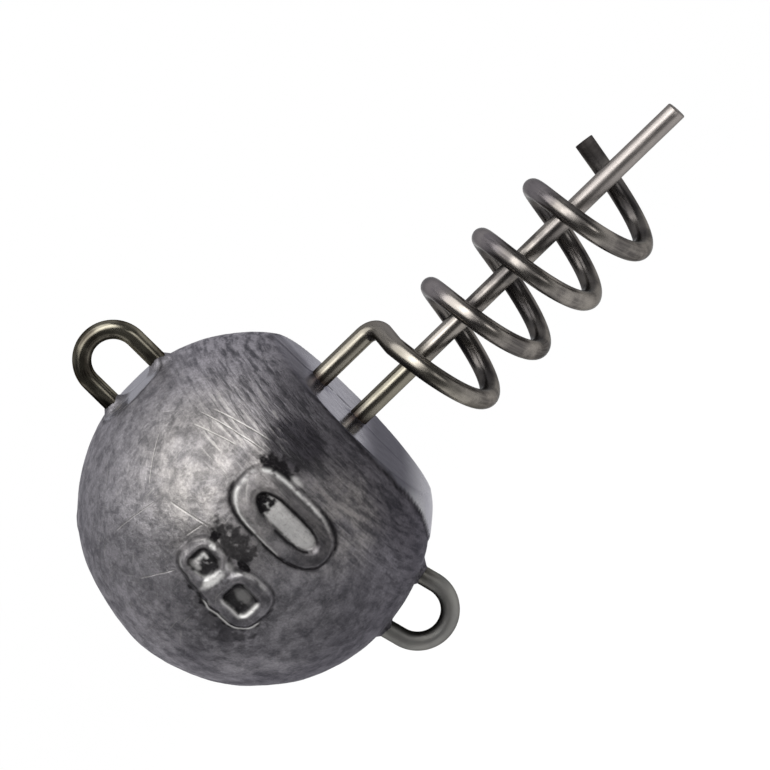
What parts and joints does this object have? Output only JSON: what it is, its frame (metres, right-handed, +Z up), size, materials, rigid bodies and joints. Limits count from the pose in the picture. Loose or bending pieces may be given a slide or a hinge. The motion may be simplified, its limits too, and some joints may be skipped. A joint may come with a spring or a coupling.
{
  "type": "screw-in jig head",
  "caption": "Cast lead ball with a line eye, a hook eye and a right-handed corkscrew with a centring pin that screws into a soft bait.",
  "frame": {"origin": "middle of the hole of the line eye, where the line or clip holds the part up", "axes": "+X rearward along the screw's pin, the way a bait is pushed on; +Z up through the line eye, the way the line pulls; the wires lie in the plane Y = 0 inside the lead, which is the parting plane of the casting"},
  "size_m": [0.0516, 0.024, 0.0325],
  "materials": {
    "cast_lead": "bare cast lead, smooth and scratched, lilac grey",
    "eye_steel": "spring wire with a matte olive brown oxide",
    "screw_steel": "spring wire, dark gunmetal, polished where it was drawn"
  },
  "bodies": {
    "root": {"lead_head": "cast_lead", "eye_wire": "eye_steel", "screw_wire": "screw_steel"}
  },
  "joints": []
}
